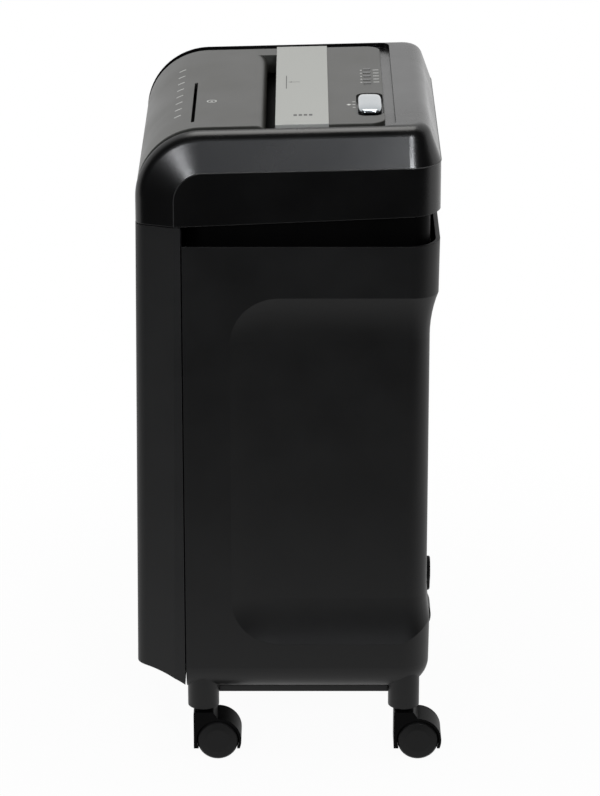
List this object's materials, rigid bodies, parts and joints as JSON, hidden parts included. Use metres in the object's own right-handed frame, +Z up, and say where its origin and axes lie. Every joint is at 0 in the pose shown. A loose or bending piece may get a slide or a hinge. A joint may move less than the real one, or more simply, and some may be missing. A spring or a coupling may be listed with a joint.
{
  "type": "paper shredder",
  "caption": "Upright office paper shredder on castors: rounded head with feed throat, slide switch and geared cutters over a cabinet with a pull-out bin.",
  "frame": {"origin": "On the floor, under the middle of the bounding box", "axes": "+X is the user's right, -Y is the user's side with the bin front, +Z is up"},
  "size_m": [0.32, 0.2764, 0.5987],
  "materials": {
    "black_shell": "satin black moulded plastic with a fine grain",
    "deck_grey": "matte warm grey moulded plastic",
    "strip_silver": "finely brushed silver sheet",
    "knob_silver": "glossy silver paint on plastic",
    "lens_dark": "dark smoked lens",
    "window_smoke": "smoke-grey clear plastic",
    "tub_grey": "dark grey moulded plastic",
    "inner_black": "plain black plastic",
    "rocker_black": "polished black plastic",
    "spacer_rubber": "black rubber",
    "cutter_steel": "hardened ground steel",
    "plate_steel": "zinc-plated steel",
    "screw_zinc": "zinc-plated steel",
    "gear_steel": "oiled sintered steel",
    "bush_brass": "sintered bronze",
    "motor_paint": "black enamel on steel",
    "board_green": "green solder mask",
    "board_dark": "dark electronic parts",
    "castor_black": "satin black nylon",
    "wheel_black": "satin black nylon tread"
  },
  "bodies": {
    "body": {"cabinet_shell": "black_shell", "base_plate": "black_shell", "base_screws": "screw_zinc", "rear_spacer": "spacer_rubber", "head_tray": "black_shell", "head_screws": "screw_zinc", "head_cover": "black_shell", "deck_panel": "deck_grey", "indicator_lenses": "lens_dark", "sensor_strip": "strip_silver", "switch_body": "inner_black", "paper_sensors": "inner_black", "rocker_frame": "inner_black", "cord_gland": "inner_black", "interlock_switch": "inner_black", "control_board": "board_green", "board_screws": "screw_zinc", "board_parts": "board_dark", "idler_pin": "plate_steel", "motor_can": "motor_paint", "motor_cap": "inner_black", "motor_screws": "screw_zinc", "left_side_plate": "plate_steel", "right_side_plate": "plate_steel", "bushes": "bush_brass", "tie_rods": "plate_steel", "front_comb": "plate_steel", "rear_comb": "plate_steel", "feed_chute": "inner_black"},
    "bin": {"bin_front": "black_shell", "bin_window": "window_smoke", "grip_cup": "black_shell", "bin_tub": "tub_grey", "bin_screws": "screw_zinc"},
    "front_cutter": {"front_roller": "cutter_steel", "front_sync_gear": "gear_steel"},
    "rear_cutter": {"rear_roller": "cutter_steel", "rear_sync_gear": "gear_steel", "reduction_gear": "gear_steel"},
    "idler": {"idler_gear": "gear_steel"},
    "rotor": {"motor_rotor": "plate_steel", "motor_pinion": "gear_steel"},
    "slide_knob": {"switch_knob": "knob_silver"},
    "rocker": {"mains_rocker": "rocker_black"},
    "castor_front_right": {"castor_hood_front_right": "castor_black", "castor_stem_front_right": "plate_steel"},
    "wheels_front_right": {"castor_wheels_front_right": "wheel_black", "castor_axle_front_right": "plate_steel"},
    "castor_front_left": {"castor_hood_front_left": "castor_black", "castor_stem_front_left": "plate_steel"},
    "wheels_front_left": {"castor_wheels_front_left": "wheel_black", "castor_axle_front_left": "plate_steel"},
    "castor_rear_right": {"castor_hood_rear_right": "castor_black", "castor_stem_rear_right": "plate_steel"},
    "wheels_rear_right": {"castor_wheels_rear_right": "wheel_black", "castor_axle_rear_right": "plate_steel"},
    "castor_rear_left": {"castor_hood_rear_left": "castor_black", "castor_stem_rear_left": "plate_steel"},
    "wheels_rear_left": {"castor_wheels_rear_left": "wheel_black", "castor_axle_rear_left": "plate_steel"}
  },
  "joints": [
    {"name": "bin_pull", "type": "slide", "parent": "body", "child": "bin", "axis": [0, -1, 0], "range_m": [0, 0.2]},
    {"name": "rear_cutter_spin", "type": "hinge", "parent": "body", "child": "rear_cutter", "pos_m": [0, -0.0268, 0.541], "axis": [1, 0, 0], "continuous": true},
    {"name": "front_cutter_spin", "type": "hinge", "parent": "body", "child": "front_cutter", "pos_m": [0, -0.0628, 0.541], "axis": [1, 0, 0], "continuous": true},
    {"name": "idler_spin", "type": "hinge", "parent": "body", "child": "idler", "pos_m": [-0.125, 0.00885, 0.54601], "axis": [1, 0, 0], "continuous": true},
    {"name": "rotor_spin", "type": "hinge", "parent": "body", "child": "rotor", "pos_m": [-0.06, 0.0445, 0.541], "axis": [1, 0, 0], "continuous": true},
    {"name": "knob_slide", "type": "slide", "parent": "body", "child": "slide_knob", "axis": [1, 0, 0], "range_m": [-0.009, 0.009]},
    {"name": "rocker_tilt", "type": "hinge", "parent": "body", "child": "rocker", "pos_m": [0.02, 0.1258, 0.541], "axis": [1, 0, 0], "range_deg": [0, 16]},
    {"name": "swivel_front_right", "type": "hinge", "parent": "body", "child": "castor_front_right", "pos_m": [0.143, -0.0788, 0.05], "axis": [0, 0, 1], "continuous": true},
    {"name": "roll_front_right", "type": "hinge", "parent": "castor_front_right", "child": "wheels_front_right", "pos_m": [0.143, -0.0658, 0.0185], "axis": [1, 0, 0], "continuous": true},
    {"name": "swivel_front_left", "type": "hinge", "parent": "body", "child": "castor_front_left", "pos_m": [-0.143, -0.0788, 0.05], "axis": [0, 0, 1], "continuous": true},
    {"name": "roll_front_left", "type": "hinge", "parent": "castor_front_left", "child": "wheels_front_left", "pos_m": [-0.143, -0.0658, 0.0185], "axis": [1, 0, 0], "continuous": true},
    {"name": "swivel_rear_right", "type": "hinge", "parent": "body", "child": "castor_rear_right", "pos_m": [0.143, 0.1037, 0.05], "axis": [0, 0, 1], "continuous": true},
    {"name": "roll_rear_right", "type": "hinge", "parent": "castor_rear_right", "child": "wheels_rear_right", "pos_m": [0.143, 0.1167, 0.0185], "axis": [1, 0, 0], "continuous": true},
    {"name": "swivel_rear_left", "type": "hinge", "parent": "body", "child": "castor_rear_left", "pos_m": [-0.143, 0.1037, 0.05], "axis": [0, 0, 1], "continuous": true},
    {"name": "roll_rear_left", "type": "hinge", "parent": "castor_rear_left", "child": "wheels_rear_left", "pos_m": [-0.143, 0.1167, 0.0185], "axis": [1, 0, 0], "continuous": true}
  ],
  "couplings": [
    {"joint": "front_cutter_spin", "follows": "rear_cutter_spin", "ratio": -1},
    {"joint": "idler_spin", "follows": "rear_cutter_spin", "ratio": -3},
    {"joint": "rotor_spin", "follows": "rear_cutter_spin", "ratio": 15}
  ]
}
